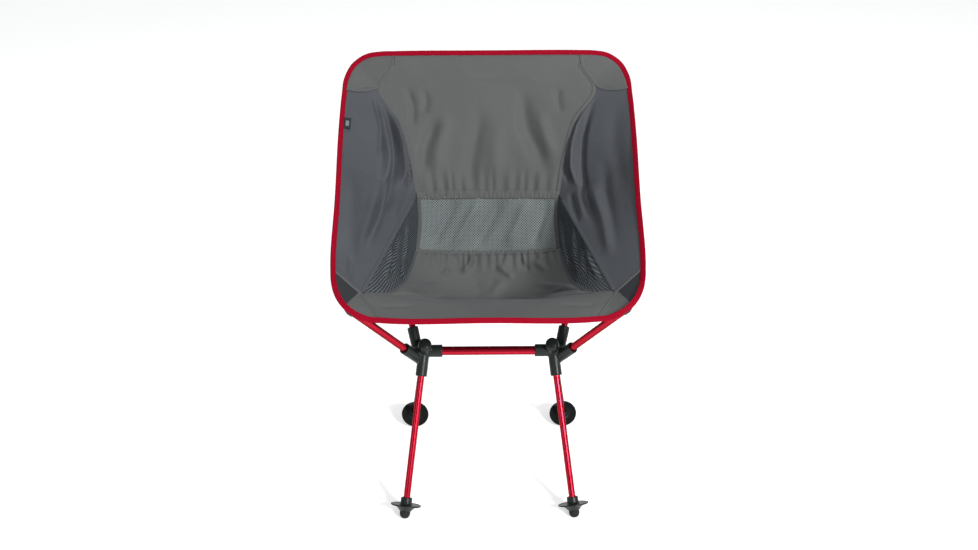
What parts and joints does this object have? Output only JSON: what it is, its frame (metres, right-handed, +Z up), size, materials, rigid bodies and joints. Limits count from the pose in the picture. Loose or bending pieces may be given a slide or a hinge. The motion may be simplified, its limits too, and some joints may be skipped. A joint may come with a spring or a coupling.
{
  "type": "ultralight backpacking chair",
  "caption": "Low camping chair: two five-socket hubs on a crossbar hold four splayed legs with round foot discs and four poles that carry a sewn fabric bucket sling.",
  "frame": {"origin": "middle of the overall box, on the ground", "axes": "+Z up, the sitter faces -Y, +X to the right of the picture (the sitter's left)"},
  "size_m": [0.5126, 0.494, 0.6615],
  "materials": {
    "red_tube": "red anodised, satin",
    "plastic": "fine-grained black moulded nylon",
    "rubber_tip": "matte",
    "ripstop": "grey woven ripstop",
    "mesh": "grey open mesh",
    "tape": "crimson woven binding tape",
    "label": "plain woven tab",
    "ferrule": "bare drawn tube",
    "elastic": "braided cord sleeve"
  },
  "bodies": {
    "frame": {"crossbar": "red_tube", "hub_left": "plastic", "hub_right": "plastic", "shock_cord_crossbar": "elastic", "shock_cord_legs_left": "elastic", "shock_cord_poles_left": "elastic", "shock_cord_legs_right": "elastic", "shock_cord_poles_right": "elastic"},
    "leg_front_left": {"leg_tube_front_left": "red_tube", "foot_front_left": "plastic", "foot_tip_front_left": "rubber_tip"},
    "leg_rear_left": {"leg_tube_rear_left": "red_tube", "foot_rear_left": "plastic", "foot_tip_rear_left": "rubber_tip"},
    "leg_front_right": {"leg_tube_front_right": "red_tube", "foot_front_right": "plastic", "foot_tip_front_right": "rubber_tip"},
    "leg_rear_right": {"leg_tube_rear_right": "red_tube", "foot_rear_right": "plastic", "foot_tip_rear_right": "rubber_tip"},
    "seat_pole_left": {"seat_pole_left": "red_tube", "seat_pole_cap_left": "plastic"},
    "back_pole_lower_left": {"back_pole_lower_left": "red_tube", "back_pole_ferrule_left": "ferrule"},
    "back_pole_upper_left": {"back_pole_upper_left": "red_tube", "back_pole_cap_left": "plastic"},
    "seat_pole_right": {"seat_pole_right": "red_tube", "seat_pole_cap_right": "plastic"},
    "back_pole_lower_right": {"back_pole_lower_right": "red_tube", "back_pole_ferrule_right": "ferrule"},
    "back_pole_upper_right": {"back_pole_upper_right": "red_tube", "back_pole_cap_right": "plastic"},
    "sling": {"seat_panel": "ripstop", "lumbar_mesh_panel": "mesh", "back_panel": "ripstop", "binding_tape": "tape", "side_label_tab": "label", "wing_panel_left": "ripstop", "mesh_gusset_left": "mesh", "top_corner_patch_left": "ripstop", "top_corner_pocket_left": "ripstop", "front_corner_patch_left": "ripstop", "front_corner_pocket_left": "ripstop", "wing_panel_right": "ripstop", "mesh_gusset_right": "mesh", "top_corner_patch_right": "ripstop", "top_corner_pocket_right": "ripstop", "front_corner_patch_right": "ripstop", "front_corner_pocket_right": "ripstop"}
  },
  "joints": [
    {"name": "leg_front_left_pull", "type": "slide", "parent": "frame", "child": "leg_front_left", "axis": [-0.119, -0.515, -0.8489], "range_m": [0, 0.03], "stiffness_N_per_m": 60, "springref_m": -0.05},
    {"name": "leg_rear_left_pull", "type": "slide", "parent": "frame", "child": "leg_rear_left", "axis": [-0.119, 0.515, -0.8489], "range_m": [0, 0.03], "stiffness_N_per_m": 60, "springref_m": -0.05},
    {"name": "leg_front_right_pull", "type": "slide", "parent": "frame", "child": "leg_front_right", "axis": [0.119, -0.515, -0.8489], "range_m": [0, 0.03], "stiffness_N_per_m": 60, "springref_m": -0.05},
    {"name": "leg_rear_right_pull", "type": "slide", "parent": "frame", "child": "leg_rear_right", "axis": [0.119, 0.515, -0.8489], "range_m": [0, 0.03], "stiffness_N_per_m": 60, "springref_m": -0.05},
    {"name": "seat_pole_left_pull", "type": "slide", "parent": "frame", "child": "seat_pole_left", "axis": [-0.5156, -0.442, 0.734], "range_m": [0, 0.0285]},
    {"name": "back_pole_lower_left_pull", "type": "slide", "parent": "frame", "child": "back_pole_lower_left", "axis": [-0.2215, 0.622, 0.751], "range_m": [0, 0.027]},
    {"name": "back_pole_upper_left_part", "type": "slide", "parent": "back_pole_lower_left", "child": "back_pole_upper_left", "axis": [-0.2215, 0.622, 0.751], "range_m": [0, 0.015]},
    {"name": "seat_pole_right_pull", "type": "slide", "parent": "frame", "child": "seat_pole_right", "axis": [0.5156, -0.442, 0.734], "range_m": [0, 0.0285]},
    {"name": "back_pole_lower_right_pull", "type": "slide", "parent": "frame", "child": "back_pole_lower_right", "axis": [0.2215, 0.622, 0.751], "range_m": [0, 0.027]},
    {"name": "back_pole_upper_right_part", "type": "slide", "parent": "back_pole_lower_right", "child": "back_pole_upper_right", "axis": [0.2215, 0.622, 0.751], "range_m": [0, 0.015]},
    {"name": "sling_lift", "type": "slide", "parent": "frame", "child": "sling", "axis": [0, 0, 1], "range_m": [0, 0.3]}
  ],
  "couplings": [
    {"joint": "seat_pole_left_pull", "follows": "sling_lift", "ratio": 0.095},
    {"joint": "back_pole_lower_left_pull", "follows": "sling_lift", "ratio": 0.09},
    {"joint": "back_pole_upper_left_part", "follows": "sling_lift", "ratio": 0.05},
    {"joint": "seat_pole_right_pull", "follows": "sling_lift", "ratio": 0.095},
    {"joint": "back_pole_lower_right_pull", "follows": "sling_lift", "ratio": 0.09},
    {"joint": "back_pole_upper_right_part", "follows": "sling_lift", "ratio": 0.05}
  ]
}
